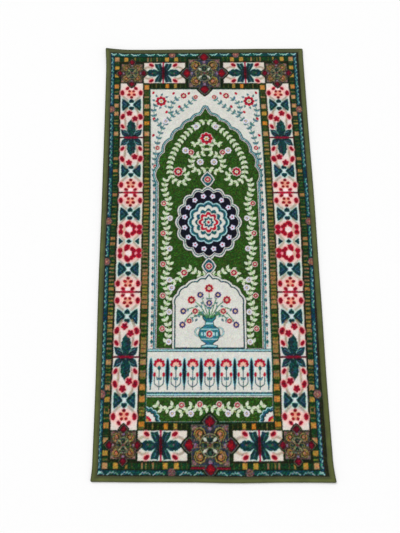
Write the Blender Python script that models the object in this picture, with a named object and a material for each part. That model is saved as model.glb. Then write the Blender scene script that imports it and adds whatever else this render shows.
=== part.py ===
"""A prayer rug lying flat: a short-pile carpet with a woven tape folded round its edge.

Metres, +Z up. The rug lies on the ground plane with its head end towards +Y. The origin is the
centre of the rug's box, on the ground.
"""

import math

import bmesh
import bpy

MM = 0.001

# The carpet as cut, before it settled
WIDTH = 600 * MM
LENGTH = 1230 * MM
CORNER_RADIUS = 4.5 * MM

# The tape folded round the edge
TAPE_THICKNESS = 0.8 * MM
TAPE_ON_FACE = 15 * MM
TAPE_ON_BACK = 14 * MM
TAPE_FOLD_STEPS = 6
CORNER_STEPS = 4
GAP = 0.4 * MM

# Heights of the carpet
PILE_TOP = 7 * MM
PRESSED_TOP = 4.6 * MM
PRESSED_UNDERSIDE = TAPE_THICKNESS + GAP

# The tape's fold is half round: its centre line stands this far in and this high
FOLD_RADIUS = (PRESSED_TOP + GAP + TAPE_THICKNESS) / 2

# Section of the carpet's edge: distance in from the rug's outer edge, underside, top
EDGE_SECTION = (
    ("in", "underside", "top"),
    (1.35 * MM, FOLD_RADIUS - 0.5 * MM, FOLD_RADIUS + 0.5 * MM),
    (1.8 * MM, FOLD_RADIUS - 1.2 * MM, FOLD_RADIUS + 1.2 * MM),
    (3.2 * MM, PRESSED_UNDERSIDE, PRESSED_TOP),
    (CORNER_RADIUS, PRESSED_UNDERSIDE, PRESSED_TOP),
    (15.5 * MM, PRESSED_UNDERSIDE, PRESSED_TOP),
    (16.8 * MM, 0.0, 5.8 * MM),
    (18.5 * MM, 0.0, 6.7 * MM),
    (21.0 * MM, 0.0, PILE_TOP),
    (40.0 * MM, 0.0, PILE_TOP),
)
# Distances in from a corner at which the tape has a point, before its even spacing starts
TAPE_ENDS = (CORNER_RADIUS, 21.0 * MM, 40.0 * MM)
SPACING = 62 * MM

# How far each side stands out from a straight line, at even steps along it.
# The long sides run from the head end to the foot, the short ones from left to right.
SIDE_BOW = {
    "left": (0.0, -0.7 * MM, -0.9 * MM, 0.4 * MM, -1.1 * MM, 0.0),
    "right": (0.1 * MM, 0.6 * MM, 2.0 * MM, 0.9 * MM, -0.6 * MM, 0.2 * MM),
    "head": (-3.0 * MM, -2.8 * MM, -1.6 * MM, -0.4 * MM, 0.8 * MM, 1.3 * MM),
    "foot": (-0.8 * MM, 0.3 * MM, 0.6 * MM, 2.3 * MM, 0.9 * MM, 1.0 * MM),
}
BOW_REACH = 120 * MM

# The corners, where the folded tape is bulky and pushes out, and one corner curls up
CORNERS = (
    ("x side", "y side", "out in x", "out in y", "lift", "reach"),
    (-1, 1, 3.2 * MM, 2.4 * MM, 6.5 * MM, 85 * MM),
    (1, 1, 1.0 * MM, 0.4 * MM, 0.0, 40 * MM),
    (-1, -1, 3.8 * MM, 0.4 * MM, 0.0, 48 * MM),
    (1, -1, 5.3 * MM, 0.3 * MM, 1.2 * MM, 60 * MM),
)


def along(values, share):
    """The value at a share from 0 to 1 along a side, read smoothly between its steps."""
    place = min(max(share, 0.0), 1.0) * (len(values) - 1)
    step = min(int(place), len(values) - 2)
    part = place - step
    blend = part * part * (3 - 2 * part)
    return values[step] + (values[step + 1] - values[step]) * blend


def settled(x, y, z):
    """Where a point of the straight, flat rug comes to lie."""
    down, across = 0.5 - y / LENGTH, 0.5 + x / WIDTH
    near = {
        "left": WIDTH / 2 + x,
        "right": WIDTH / 2 - x,
        "head": LENGTH / 2 - y,
        "foot": LENGTH / 2 + y,
    }
    pull = {side: max(0.0, 1 - distance / BOW_REACH) for side, distance in near.items()}
    move_x = pull["right"] * along(SIDE_BOW["right"], down)
    move_x -= pull["left"] * along(SIDE_BOW["left"], down)
    move_y = pull["head"] * along(SIDE_BOW["head"], across)
    move_y -= pull["foot"] * along(SIDE_BOW["foot"], across)
    move_z = 0.0
    for side_x, side_y, out_x, out_y, lift, reach in CORNERS[1:]:
        distance = math.hypot(side_x * WIDTH / 2 - x, side_y * LENGTH / 2 - y)
        curl = max(0.0, 1 - distance / reach) ** 2
        move_x += side_x * out_x * curl
        move_y += side_y * out_y * curl
        move_z += lift * curl
    return x + move_x, y + move_y, z + move_z


def lines_across(size):
    """Positions of the carpet's lines over a side of that size, close together at its edges."""
    ends = [row[0] for row in EDGE_SECTION[1:]]
    inner = size - 2 * ends[-1]
    count = round(inner / SPACING)
    middle = [ends[-1] + inner * i / count for i in range(1, count)]
    return [d - size / 2 for d in ends + middle] + [size / 2 - d for d in reversed(ends)]


def heights(distance):
    """Underside and top of the carpet at that distance in from the rug's edge."""
    for place, underside, top in EDGE_SECTION[1:]:
        if distance <= place + 0.01 * MM:
            return underside, top
    return 0.0, PILE_TOP


def rounded(x, y):
    """Moves a point near a corner of the straight rectangle onto its rounded corner."""
    over_x = abs(x) - (WIDTH / 2 - CORNER_RADIUS)
    over_y = abs(y) - (LENGTH / 2 - CORNER_RADIUS)
    if over_x <= 0 or over_y <= 0:
        return x, y
    scale = max(over_x, over_y) / math.hypot(over_x, over_y)
    return (
        math.copysign(WIDTH / 2 - CORNER_RADIUS + over_x * scale, x),
        math.copysign(LENGTH / 2 - CORNER_RADIUS + over_y * scale, y),
    )


def cloth_material(name, colour, roughness):
    material = bpy.data.materials.new(name)
    material.use_nodes = True
    shader = material.node_tree.nodes["Principled BSDF"]
    shader.inputs["Base Color"].default_value = (*colour, 1.0)
    shader.inputs["Roughness"].default_value = roughness
    shader.inputs["Metallic"].default_value = 0.0
    return material


def finished(shape, name, material):
    """Turns a bmesh into a named, smooth shaded object."""
    bmesh.ops.remove_doubles(shape, verts=shape.verts, dist=0.01 * MM)
    bmesh.ops.recalc_face_normals(shape, faces=shape.faces)
    mesh = bpy.data.meshes.new(name)
    shape.to_mesh(mesh)
    shape.free()
    mesh.materials.append(material)
    mesh.shade_smooth()
    mesh.set_sharp_from_angle(angle=math.radians(35))
    made = bpy.data.objects.new(name, mesh)
    bpy.context.scene.collection.objects.link(made)
    return made


def make_carpet():
    """Backing and short pile as one slab, thin and pressed at its edge under the tape."""
    shape = bmesh.new()
    columns, rows = lines_across(WIDTH), lines_across(LENGTH)
    faces = {"underside": [], "top": []}
    for y in rows:
        lines = {"underside": [], "top": []}
        for x in columns:
            levels = heights(min(WIDTH / 2 - abs(x), LENGTH / 2 - abs(y)))
            for face, z in zip(lines, levels):
                lines[face].append(shape.verts.new(settled(*rounded(x, y), z)))
        for face in faces:
            faces[face].append(lines[face])
    last_row, last_column = len(rows) - 1, len(columns) - 1
    for face, grid in faces.items():
        for j in range(last_row):
            for i in range(last_column):
                corners = [grid[j][i], grid[j][i + 1], grid[j + 1][i + 1], grid[j + 1][i]]
                shape.faces.new(corners if face == "top" else corners[::-1])
    rim = [(0, i) for i in range(last_column)]
    rim += [(j, last_column) for j in range(last_row)]
    rim += [(last_row, i) for i in range(last_column, 0, -1)]
    rim += [(j, 0) for j in range(last_row, 0, -1)]
    for (j, i), (next_j, next_i) in zip(rim, rim[1:] + rim[:1]):
        low, high = faces["underside"], faces["top"]
        shape.faces.new((low[j][i], low[next_j][next_i], high[next_j][next_i], high[j][i]))
    return finished(shape, "rug_body", cloth_material("pile carpet", (0.05, 0.11, 0.04), 0.95))


def tape_section():
    """The folded tape's section as distance in from the edge and height, once round."""
    height = 2 * FOLD_RADIUS
    points = []
    for radius, ends in ((FOLD_RADIUS, 1), (FOLD_RADIUS - TAPE_THICKNESS, -1)):
        arc = []
        for step in range(TAPE_FOLD_STEPS + 1):
            angle = math.pi * step / TAPE_FOLD_STEPS
            arc.append((FOLD_RADIUS - radius * math.sin(angle), FOLD_RADIUS + radius * math.cos(angle)))
        inner = FOLD_RADIUS - radius
        line = [(TAPE_ON_FACE, height - inner)] + arc + [(TAPE_ON_BACK, inner)]
        points += line[::ends]
    return points


def tape_loop(distance):
    """Points once round the rug at that distance in from its edge, anticlockwise from +X."""
    half_x, half_y = WIDTH / 2, LENGTH / 2
    radius = max(CORNER_RADIUS - distance, 0.0)
    reach = max(distance, CORNER_RADIUS)

    def stations(half):
        inner = 2 * (half - TAPE_ENDS[-1])
        count = round(inner / SPACING)
        middle = [TAPE_ENDS[-1] + inner * i / count - half for i in range(1, count)]
        marks = [d - half for d in TAPE_ENDS] + middle + [half - d for d in reversed(TAPE_ENDS)]
        return [min(max(mark, reach - half), half - reach) for mark in marks]

    points = [(half_x - distance, y) for y in stations(half_y)]
    sides = (
        (1, 1, [(x, half_y - distance) for x in reversed(stations(half_x))]),
        (-1, 1, [(distance - half_x, y) for y in reversed(stations(half_y))]),
        (-1, -1, [(x, distance - half_y) for x in stations(half_x)]),
        (1, -1, []),
    )
    for turn, (side_x, side_y, side) in enumerate(sides):
        for step in range(1, CORNER_STEPS):
            angle = (turn + step / CORNER_STEPS) * math.pi / 2
            points.append(
                (
                    side_x * (half_x - reach) + radius * math.cos(angle),
                    side_y * (half_y - reach) + radius * math.sin(angle),
                )
            )
        points += side
    return points


def make_tape():
    """The binding: one tape folded over the edge all the way round, with mitred corners."""
    shape = bmesh.new()
    loops = []
    for distance, z in tape_section():
        loops.append([shape.verts.new(settled(x, y, z)) for x, y in tape_loop(distance)])
    for loop, following in zip(loops, loops[1:] + loops[:1]):
        for i in range(len(loop)):
            j = (i + 1) % len(loop)
            shape.faces.new((loop[i], loop[j], following[j], following[i]))
    return finished(shape, "edge_binding", cloth_material("woven tape", (0.10, 0.13, 0.03), 0.85))


def centre_on_origin(parts):
    """Puts the middle of the whole rug's box over the origin."""
    places = [vertex.co for part in parts for vertex in part.data.vertices]
    middle_x = (min(p.x for p in places) + max(p.x for p in places)) / 2
    middle_y = (min(p.y for p in places) + max(p.y for p in places)) / 2
    for place in places:
        place.x -= middle_x
        place.y -= middle_y


for existing in list(bpy.data.objects):
    bpy.data.objects.remove(existing)
centre_on_origin([make_carpet(), make_tape()])
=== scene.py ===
import math

import bpy
import numpy as np
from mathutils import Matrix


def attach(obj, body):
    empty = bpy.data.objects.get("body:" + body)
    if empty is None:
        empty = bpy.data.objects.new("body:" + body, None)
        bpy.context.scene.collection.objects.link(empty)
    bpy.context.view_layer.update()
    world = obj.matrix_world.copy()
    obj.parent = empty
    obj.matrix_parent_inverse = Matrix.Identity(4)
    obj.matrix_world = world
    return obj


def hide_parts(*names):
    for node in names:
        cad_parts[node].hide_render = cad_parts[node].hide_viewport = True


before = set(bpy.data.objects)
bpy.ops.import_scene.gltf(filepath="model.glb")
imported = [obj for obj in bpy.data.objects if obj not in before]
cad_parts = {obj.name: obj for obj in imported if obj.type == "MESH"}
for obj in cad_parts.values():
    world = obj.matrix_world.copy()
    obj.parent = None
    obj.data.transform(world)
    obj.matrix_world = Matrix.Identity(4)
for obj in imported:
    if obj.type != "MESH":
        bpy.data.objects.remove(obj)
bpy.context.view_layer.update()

MM = 0.001

# ---------------------------------------------------------------------------------------------
# Camera: held above the rug a little left of its middle and looking towards its head end, so
# that the foot end is nearer and wider. Places in pixels are those of the 400 x 533 image.
IMAGE_HEIGHT = 533
FOCAL_PIXELS = 450
MIDDLE_OFF_BY = 30
SENSOR = 36
CAMERA_PLACE = (-0.107, -0.3393, 1.204)
CAMERA_TILT = 12.7

camera_data = bpy.data.cameras.new("camera")
camera_data.sensor_width = SENSOR
camera_data.lens = FOCAL_PIXELS / IMAGE_HEIGHT * SENSOR
camera_data.shift_x = MIDDLE_OFF_BY / IMAGE_HEIGHT
camera_data.clip_start = 0.01
camera = bpy.data.objects.new("camera", camera_data)
camera.location = CAMERA_PLACE
camera.rotation_euler = (math.radians(CAMERA_TILT), 0, 0)
bpy.context.scene.collection.objects.link(camera)
bpy.context.scene.camera = camera


# ---------------------------------------------------------------------------------------------
# Backing: the woven ground that the pile stands on, seen only from below. Polypropylene warp
# and weft in undyed beige, stiffened with a thin coat of latex, cut to 600 x 1230 mm.
WIDTH, LENGTH = 600 * MM, 1230 * MM
BACKING_THICKNESS = 1.6 * MM
BACKING_EDGE = 2.4 * MM
TAPE_REACH = 15.5 * MM
TAPE_UNDERLAP = 1.2 * MM
BACKING_COLUMNS, BACKING_ROWS = 60, 122
WEFT_PITCH = 2.2 * MM
RIM_STEPS = 400

# How far each side stands out from a straight line, at even steps along it: the long sides from
# head to foot, the short ones from left to right. Then the corners, one of which curls up.
SIDE_BOW = {
    "left": (0.0, -0.7 * MM, -0.9 * MM, 0.4 * MM, -1.1 * MM, 0.0),
    "right": (0.1 * MM, 0.6 * MM, 2.0 * MM, 0.9 * MM, -0.6 * MM, 0.2 * MM),
    "head": (-3.0 * MM, -2.8 * MM, -1.6 * MM, -0.4 * MM, 0.8 * MM, 1.3 * MM),
    "foot": (-0.8 * MM, 0.3 * MM, 0.6 * MM, 2.3 * MM, 0.9 * MM, 1.0 * MM),
}
BOW_REACH = 120 * MM
CORNERS = (
    ("x side", "y side", "out in x", "out in y", "lift", "reach"),
    (-1, 1, 3.2 * MM, 2.4 * MM, 6.5 * MM, 85 * MM),
    (1, 1, 1.0 * MM, 0.4 * MM, 0.0, 40 * MM),
    (-1, -1, 3.8 * MM, 0.4 * MM, 0.0, 48 * MM),
    (1, -1, 5.3 * MM, 0.3 * MM, 1.2 * MM, 60 * MM),
)


def along(values, share):
    """The values at shares from 0 to 1 along a side, read smoothly between its steps."""
    place = np.clip(share, 0, 1) * (len(values) - 1)
    step = np.minimum(place.astype(int), len(values) - 2)
    part = place - step
    steps = np.array(values)
    return steps[step] + (steps[step + 1] - steps[step]) * part * part * (3 - 2 * part)


def settled(x, y, z):
    """Where points of the straight, flat rug come to lie, as an array of places."""
    down, across = 0.5 - y / LENGTH, 0.5 + x / WIDTH
    near = {
        "left": WIDTH / 2 + x,
        "right": WIDTH / 2 - x,
        "head": LENGTH / 2 - y,
        "foot": LENGTH / 2 + y,
    }
    pull = {side: np.maximum(0, 1 - distance / BOW_REACH) for side, distance in near.items()}
    move_x = pull["right"] * along(SIDE_BOW["right"], down)
    move_x = move_x - pull["left"] * along(SIDE_BOW["left"], down)
    move_y = pull["head"] * along(SIDE_BOW["head"], across)
    move_y = move_y - pull["foot"] * along(SIDE_BOW["foot"], across)
    move_z = np.zeros_like(x)
    for side_x, side_y, out_x, out_y, lift, reach in CORNERS[1:]:
        distance = np.hypot(side_x * WIDTH / 2 - x, side_y * LENGTH / 2 - y)
        curl = np.maximum(0, 1 - distance / reach) ** 2
        move_x = move_x + side_x * out_x * curl
        move_y = move_y + side_y * out_y * curl
        move_z = move_z + lift * curl
    return np.stack([x + move_x, y + move_y, z + move_z], -1)


# The rug's box is centred on the origin, so everything moves by the middle of its settled edge
edge_steps = np.linspace(-0.5, 0.5, RIM_STEPS)
half = np.full(RIM_STEPS, 0.5)
rim_x = np.concatenate([edge_steps, edge_steps, half, -half]) * WIDTH
rim_y = np.concatenate([half, -half, edge_steps, edge_steps]) * LENGTH
rim = settled(rim_x, rim_y, np.zeros_like(rim_x))
RUG_MIDDLE = (rim.min(0) + rim.max(0)) / 2 * (1, 1, 0)


def places_of(mesh):
    """The mesh's vertices as rows of x, y, z."""
    places = np.empty(len(mesh.vertices) * 3, np.float32)
    mesh.vertices.foreach_get("co", places)
    return places.reshape(-1, 3).astype(float)


def lay_out(mesh, x, y, z):
    """Puts a mesh's vertices where these points of the straight rug come to lie."""
    places = settled(x, y, z) - RUG_MIDDLE
    mesh.vertices.foreach_set("co", places.astype(np.float32).ravel())
    mesh.update()


def colour(hex_value):
    """An sRGB hex value as linear red, green and blue."""
    parts = [int(hex_value[i : i + 2], 16) / 255 for i in (1, 3, 5)]
    return tuple(p / 12.92 if p <= 0.04045 else ((p + 0.055) / 1.055) ** 2.4 for p in parts)


def feed(made, links):
    """Gives each named or numbered input of a node a value or another node's output."""
    for key, value in links.items():
        if isinstance(value, bpy.types.NodeSocket):
            made.id_data.links.new(value, made.inputs[key])
        else:
            made.inputs[key].default_value = value


def node(material, kind, settings=None, links=None):
    """Adds a node with its settings and what feeds it."""
    made = material.node_tree.nodes.new("ShaderNode" + kind)
    for name, value in (settings or {}).items():
        setattr(made, name, value)
    feed(made, links or {})
    return made


def new_material(name, roughness):
    """A new node material, its surface shader and its object coordinates."""
    material = bpy.data.materials.new(name)
    material.use_nodes = True
    shader = material.node_tree.nodes["Principled BSDF"]
    feed(shader, {"Roughness": roughness})
    return material, shader, node(material, "TexCoord").outputs["Object"]


WAVE_UNIT = 20 / (2 * math.pi)


def weave_of(material, here, pitch, crossing, unevenness):
    """A weave's height: two sets of bands a pitch apart that cross each other."""
    links = {"Vector": here, "Scale": 1 / (WAVE_UNIT * pitch), **unevenness}
    bands = [
        node(material, "TexWave", {"wave_type": "BANDS", "bands_direction": way}, links).outputs["Fac"]
        for way in "XY"
    ]
    return node(material, "Math", {"operation": crossing}, {0: bands[0], 1: bands[1]}).outputs[0]


# Woven polypropylene under latex: flat tapes crossing at right angles, blotched and dull
backing_finish, shader, here = new_material("latexed polypropylene weave", 0.85)
BLOTCHES_PER_METRE = 9.0
weave = weave_of(backing_finish, here, WEFT_PITCH, "MAXIMUM", {"Distortion": 0.4})
blotch = node(backing_finish, "TexNoise", None, {"Vector": here, "Scale": BLOTCHES_PER_METRE, "Detail": 4})
uneven = {0: blotch.outputs["Fac"], 1: 0.5, 2: weave}
share = node(backing_finish, "Math", {"operation": "MULTIPLY_ADD"}, uneven)
beiges = {0: share.outputs[0], 6: (*colour("#8A7B62"), 1), 7: (*colour("#C8BBA0"), 1)}
ground = node(backing_finish, "Mix", {"data_type": "RGBA"}, beiges)
bump = node(backing_finish, "Bump", None, {"Strength": 0.6, "Distance": 0.4 * MM, "Height": weave})
feed(shader, {"Base Color": ground.outputs[2], "Normal": bump.outputs["Normal"]})

bpy.ops.object.select_all(action="DESELECT")
bpy.ops.mesh.primitive_grid_add(x_subdivisions=BACKING_COLUMNS, y_subdivisions=BACKING_ROWS, size=1)
backing = bpy.context.object
backing.name = "carpet_backing"
bpy.ops.object.mode_set(mode="EDIT")
bpy.ops.mesh.select_all(action="SELECT")
bpy.ops.transform.resize(value=(WIDTH - 2 * BACKING_EDGE, LENGTH - 2 * BACKING_EDGE, 1))
bpy.ops.object.mode_set(mode="OBJECT")
bpy.ops.object.modifier_add(type="SOLIDIFY")
backing.modifiers[-1].thickness = BACKING_THICKNESS
backing.modifiers[-1].offset = 1
bpy.ops.object.modifier_apply(modifier=backing.modifiers[-1].name)
x, y, z = places_of(backing.data).T
inward = np.minimum(WIDTH / 2 - abs(x), LENGTH / 2 - abs(y))
lay_out(backing.data, x, y, z + np.where(inward < TAPE_REACH, TAPE_UNDERLAP, 0))
backing.data.materials.append(backing_finish)
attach(backing, "root")
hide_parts("rug_body")


# ---------------------------------------------------------------------------------------------
# Pattern: the dyes printed on the pile, drawn on a flat cloth of small squares. Places are in
# millimetres from the left edge and from the head edge. Only the left half is drawn, since the
# right half mirrors it, and of the borders only the head half, which the foot half mirrors.
SQUARE = 0.65
MIDDLE = 611
STRIP = 79
CENTRE = 300
PAST_MIDDLE, PAST_CENTRE = MIDDLE + 9, CENTRE + 9
CLOTH_FOOT = 2 * MIDDLE

cloth = np.zeros((round(CLOTH_FOOT / SQUARE), round(CENTRE / SQUARE) + 2, 3), np.float32)


def dye(shape, tone, grow=0.0, feather=1.4, strength=1.0):
    """Lays a colour on the cloth inside a shape, which is a distance function and its box."""
    distance_of, (left, top, right, bottom) = shape
    margin = grow + feather
    first_row, last_row = (max(0, int(d / SQUARE)) for d in (top - margin, bottom + margin + 1))
    first, last = (max(0, int(d / SQUARE)) for d in (left - margin, right + margin + 1))
    part = cloth[first_row:last_row, first:last]
    if part.size:
        down, across = np.mgrid[0 : part.shape[0], 0 : part.shape[1]]
        distance = distance_of((across + first) * SQUARE, (down + first_row) * SQUARE)
        cover = np.clip(0.5 - (distance - grow) / feather, 0, 1) * strength
        part += (np.array(colour(tone)) - part) * cover[..., None]


def block(left, top, right, bottom):
    """A rectangle."""
    u, v, a, b = (left + right) / 2, (top + bottom) / 2, (right - left) / 2, (bottom - top) / 2
    return lambda x, y: np.maximum(abs(x - u) - a, abs(y - v) - b), (left, top, right, bottom)


def oval(u, v, a, b=None, turn=0.0):
    """An oval with half-widths a and b, turned by degrees, or a circle."""
    b = b or a
    c, s, r = math.cos(math.radians(turn)), math.sin(math.radians(turn)), max(a, b)

    def distance(x, y):
        along_a, along_b = ((x - u) * c + (y - v) * s) / a, ((y - v) * c - (x - u) * s) / b
        out = np.hypot(along_a, along_b)
        return (out - 1) * out / np.maximum(np.hypot(along_a / a, along_b / b), 1e-6)

    return distance, (u - r, v - r, u + r, v + r)


def ring(u, v, radius, width):
    """A circle's line."""
    r = radius + width / 2
    return (
        lambda x, y: abs(np.hypot(x - u, y - v) - radius) - width / 2,
        (u - r, v - r, u + r, v + r),
    )


def lozenge(u, v, a, b, softness=0.0):
    """A diamond with half-widths a and b, softened towards an oval."""
    slope = 1 / math.hypot(1 / a, 1 / b)

    def distance(x, y):
        sharp = (abs(x - u) / a + abs(y - v) / b - 1) * slope
        return sharp * (1 - softness) + oval(u, v, a, b)[0](x, y) * softness

    return distance, (u - a, v - b, u + a, v + b)


def petals(u, v, radius, count, depth, turn=0.0, tall=1.0):
    """A flower's outline: a circle with that many round lobes, drawn out upwards."""

    def distance(x, y):
        across, down = x - u, (y - v) / tall
        lobe = abs(np.cos((np.arctan2(down, across) + math.radians(turn)) * count / 2))
        return np.hypot(across, down) - radius * (1 - depth + depth * lobe)

    r = radius * tall
    return distance, (u - radius, v - r, u + radius, v + r)


def to_line(x, y, ends):
    """Distance from points to a line drawn through ends."""
    near = np.full(x.shape, 1e9)
    for (ax, ay), (bx, by) in zip(ends[:-1], ends[1:]):
        ex, ey = bx - ax, by - ay
        part = np.clip(((x - ax) * ex + (y - ay) * ey) / (ex * ex + ey * ey + 1e-9), 0, 1)
        near = np.minimum(near, np.hypot(x - ax - part * ex, y - ay - part * ey))
    return near


def outline(points):
    """A closed shape with straight sides through points."""
    corners = np.array([*points, points[0]], float)

    def distance(x, y):
        inside = np.zeros(x.shape, bool)
        for (ax, ay), (bx, by) in zip(corners[:-1], corners[1:]):
            if ay != by:
                crosses = (ay > y) != (by > y)
                inside ^= crosses & (x < (y - ay) * (bx - ax) / (by - ay) + ax)
        return to_line(x, y, corners) * np.where(inside, -1, 1)

    return distance, (*corners.min(0), *corners.max(0))


def smooth(points):
    """Points a fifth of a stretch apart on a smooth line through the given ones."""
    ends = np.array(points, float)
    place = np.linspace(0, len(ends) - 1, 5 * (len(ends) - 1) + 1)
    step = np.minimum(place.astype(int), len(ends) - 2)
    t = (place - step)[:, None]
    a, b = ends[step], ends[step + 1]
    before, after = ends[np.maximum(step - 1, 0)], ends[np.minimum(step + 2, len(ends) - 1)]
    bend = 2 * before - 5 * a + 4 * b - after
    return a + ((b - before) * t + bend * t**2 + (3 * a - before - 3 * b + after) * t**3) / 2


def stem(points, width):
    """A smooth line through points."""
    ends = smooth(points) if len(points) > 2 else np.array(points, float)
    low, high = ends.min(0) - width, ends.max(0) + width
    return lambda x, y: to_line(x, y, ends) - width / 2, (*low, *high)


def placed(u, v, points, across=1, down=1):
    """Points of a motif, as seen from its middle at u, v, flipped or scaled each way."""
    return [(u + dx * across, v + dy * down) for dx, dy in points]


def stroke(u, v, points, width, tone, across=1, down=1, feather=4, strength=0.75):
    """A motif's smooth line, its points as seen from the motif's middle."""
    dye(stem(placed(u, v, points, across, down), width), tone, feather=feather, strength=strength)


# The flips that bring a motif's quarter to all its four quarters, and dyes that motifs share
FOUR_WAYS = [(side, way) for side in (-1, 1) for way in (-1, 1)]
CREAM, PINK, PEACH, BEIGE = "#E2D8CF", "#EFA3A0", "#E88468", "#9A846E"
RED, DARK_RED, WINE = "#970A27", "#62081A", "#540C20"
TEAL, DEEP_TEAL, NAVY_TEAL = "#0F393C", "#0B2A30", "#15344C"
AQUA, MINT = "#B0DCD6", "#CFDAD0"
DARK_GREEN, DEEP_GREEN = "#12361B", "#0C2A16"


# Grounds of the borders: dark pile along the tape, its own dark edge with painted shadow of the tape
# over it, then the navy-teal outer band, dark green guards with brown-black edges, and the cream
# strip between them
for left, head, tone, feather in (
    (0, 0, "#1E2412", 1),
    (13, 13, "#2A2010", 1),
    (15.5, 15.5, "#0A3444", 2.5),
    (25.2, 25.5, "#141A0E", 2),
    (27.6, 28.5, DARK_GREEN, 3),
    (40.3, 42, "#1A200E", 2.5),
    (113.0, 116, "#1C240E", 2),
    (117.5, 119.5, "#273B14", 3),
    (130.5, 134.5, "#10281A", 2),
    (133, 136.5, "#124030", 2),
):
    dye(block(left, head, PAST_CENTRE, PAST_MIDDLE), tone, feather=feather)
dye(block(27, 15.5, PAST_CENTRE, 25.5), "#0B4440", feather=2.5)
dye(block(131, 119.5, PAST_CENTRE, 134.5), "#16240C", feather=3)
dye(block(46.2, 119, 113.0, PAST_MIDDLE), CREAM, feather=2)

# The outer band's vine: along the head bright arches with a curl under each, and down the side
# short wavering dashes. Points are shares of a wave's length and distances from the rug's edge.
VINE_ARCH = (
    (((0.0, 19.5), (0.3, 22.0), (0.6, 20.0)), 4.2, "#0E5458"),
    (((0.0, 15.5), (0.16, 18.0), (0.28, 21.5), (0.44, 20.0), (0.58, 22.5)), 2.4, "#B4DCD4"),
    (((0.56, 22.0), (0.7, 18.5), (0.82, 20.5), (1.0, 15.5)), 2.2, "#8CC0B6"),
    (((0.3, 16.5), (0.46, 18.0)), 1.8, "#2E8078"),
)
VINE_DASHES = (
    (((0.0, 21.6), (0.5, 22.6)), 4.8, "#164E49"),
    (((0.55, 20.6), (0.95, 19.2)), 4.8, "#163E5C"),
    (((0.0, 18.0), (0.14, 19.9)), 3.1, "#76A49F"),
    (((0.28, 21.0), (0.42, 19.8)), 3.1, "#4C8C86"),
    (((0.58, 18.6), (0.74, 17.4)), 3.1, "#7FADA8"),
    (((0.80, 22.2), (0.92, 21.0)), 2.6, "#478478"),
)
VINE_STRETCHES = (
    ("down the side", "from", "to", "waves"),
    (True, 29, 191, 6),
    (True, 220, 393, 6),
    (True, 423, 539, 4),
    (True, 567, 655, 3),
    (False, 15, 34, 1),
    (False, 37, 108, 2),
    (False, 118, 188, 2),
    (False, 220, 292, 2),
)
DASH_SPREAD, ARCH_SPREAD, WAVE_START = 0.86, 0.78, 0.08
for down_side, start, end, waves in VINE_STRETCHES[1:]:
    pitch = (end - start) / waves
    lines, spread = (VINE_DASHES, DASH_SPREAD) if down_side else (VINE_ARCH, ARCH_SPREAD)
    for i in range(waves):
        for line, width, tone in lines:
            way = [(start + pitch * (i + WAVE_START + spread * share), height) for share, height in line]
            dye(stem([p[::-1] for p in way] if down_side else way, width), tone, strength=0.9)


def rosette(u, v):
    """A six-petalled rosette that breaks the vine."""
    dye(oval(u, v, 14, 13), DEEP_GREEN, feather=3)
    dye(petals(u, v, 11.5, 6, 0.16), "#54464C", feather=2)
    dye(petals(u, v, 8.8, 6, 0.2, 30), "#946256", feather=2)
    dye(ring(u, v, 5.0, 1.6), "#643A38")
    dye(oval(u, v, 2.6), "#A2745E")


ROSETTES_IN = 19
SIDE_ROSETTES = (205, 553)
for v in SIDE_ROSETTES:
    rosette(ROSETTES_IN, v)
rosette(202, 20)

# The guards, barred like ladders. A bar's letter gives half its height and its dye. Bars of more
# than LARGE_BAR have an orange heart.
LARGE_BAR = 5
BARS = {
    "B": (7.0, "#C08442"),
    "T": (6.6, "#B08A62"),
    "G": (6.0, "#AE8A3C"),
    "O": (5.4, "#BE7A26"),
    "Y": (5.0, "#A4823A"),
    "S": (4.6, "#A07848"),
    "g": (2.8, "#8E7838"),
    "t": (2.4, "#8E7250"),
    "o": (2.1, "#6E6A34"),
    "d": (1.6, "#3E4620"),
}
# A ladder's outer and inner side, whether it runs down the side, how much fuller its bars are, and
# its runs of bars with equal gaps: from and to, in mm from the rug's middle line or left edge. The
# two halves of the rug have bars of their own down the sides.
HEAD_LADDERS = (
    ((27.6, 40.3), True, -0.4, (
        (3, 50, "Sdddo"), (53, 141, "doododdS"), (145, 214, "dddddoS"), (217, 252, "doS"),
        (257, 333, "dddddT"), (340, 398, "ddgodT"), (402, 454, "dTdT"), (462, 489, "oB"),
        (498, 525, "dG"), (540, 565, "Gd"),
    )),
    ((118.5, 131.5), True, 0.2, (
        (-2, 51, "oooooo"), (55, 119, "goggtg"), (125, 187, "oogggg"), (194, 241, "dododo"),
        (250, 291, "dgtg"), (295, 333, "tdT"), (343, 398, "dOdG"), (409, 436, "Td"),
        (444, 486, "tddB"),
    )),
    ((28.8, 43.0), False, -0.4, (
        (27, 67, "TG"), (85, 104, "gd"), (125, 166, "todtd"), (180, 220, "GG"), (226, 243, "dd"),
    )),
    ((120.0, 134.5), False, -0.8, ((139, 168, "dod"), (182, 217, "OY"), (226, 243, "dd"))),
)
FOOT_LADDERS = (
    ((27.6, 40.3), True, -0.4, (
        (3, 45, "Sddt"), (54, 90, "ogtt"), (98, 139, "ttgS"), (145, 191, "otgtg"),
        (198, 258, "gSgSSo"), (265, 307, "ttto"), (321, 396, "TodgdoT"), (402, 425, "oG"),
        (436, 488, "ogoB"), (503, 523, "dT"), (540, 563, "Go"),
    )),
    ((118.5, 131.5), True, 0.2, (
        (-3, 47, "ttoott"), (55, 84, "ttt"), (87, 121, "SSS"), (125, 188, "gggSSS"),
        (193, 254, "dgdtoo"), (264, 303, "gSSS"), (308, 333, "tT"), (348, 369, "tSo"),
        (382, 425, "BdB"), (437, 458, "ogg"), (473, 490, "Oo"),
    )),
)


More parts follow.
